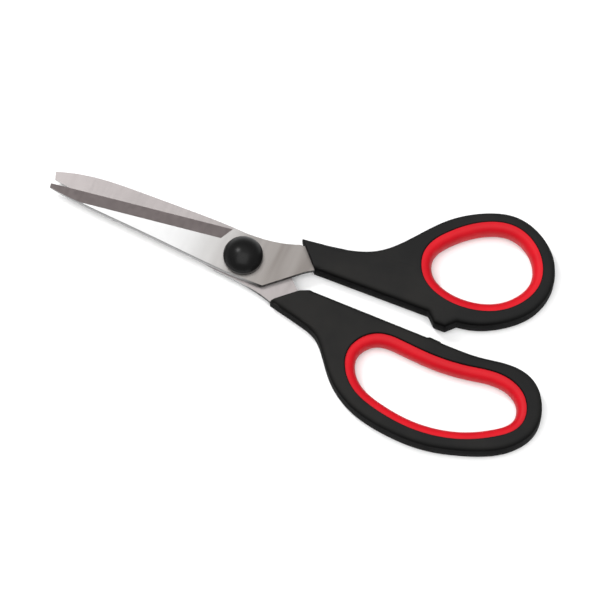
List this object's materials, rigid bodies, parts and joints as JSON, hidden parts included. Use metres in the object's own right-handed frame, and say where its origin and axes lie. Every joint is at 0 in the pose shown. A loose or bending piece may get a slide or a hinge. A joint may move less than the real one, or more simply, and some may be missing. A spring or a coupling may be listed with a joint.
{
  "type": "sewing scissors",
  "caption": "Sewing shears with a small thumb loop and a long finger loop, soft grips, straight ground steel blades and a domed pivot cap.",
  "frame": {"origin": "on the pivot axis, at the flat face of the rear cap, which lies on the table with the handles", "axes": "+X from the blades' points to the handles, +Z along the pivot axis towards the domed cap, +Y towards the thumb loop"},
  "size_m": [0.217, 0.1028, 0.0143],
  "materials": {
    "blade_steel": "satin ground stainless steel",
    "handle_plastic": "fine matte moulding texture",
    "grip_rubber": "smooth satin soft plastic",
    "cap_plastic": "smooth satin",
    "pivot_steel": "turned",
    "spring_steel": "tempered sheet",
    "slip_plastic": "natural nylon"
  },
  "bodies": {
    "rear_half": {"rear_blade": "blade_steel", "finger_handle": "handle_plastic", "finger_grip": "grip_rubber", "pivot_screw": "pivot_steel", "pivot_nut": "pivot_steel", "tension_washer": "spring_steel", "slip_washer": "slip_plastic", "pivot_cap": "cap_plastic", "rear_cap": "cap_plastic"},
    "front_half": {"front_blade": "blade_steel", "thumb_handle": "handle_plastic", "thumb_grip": "grip_rubber"}
  },
  "joints": [
    {"name": "blade_pivot", "type": "hinge", "parent": "rear_half", "child": "front_half", "pos_m": [0, 0, 0.0055], "axis": [0, 0, 1], "range_deg": [-4, 110]}
  ]
}
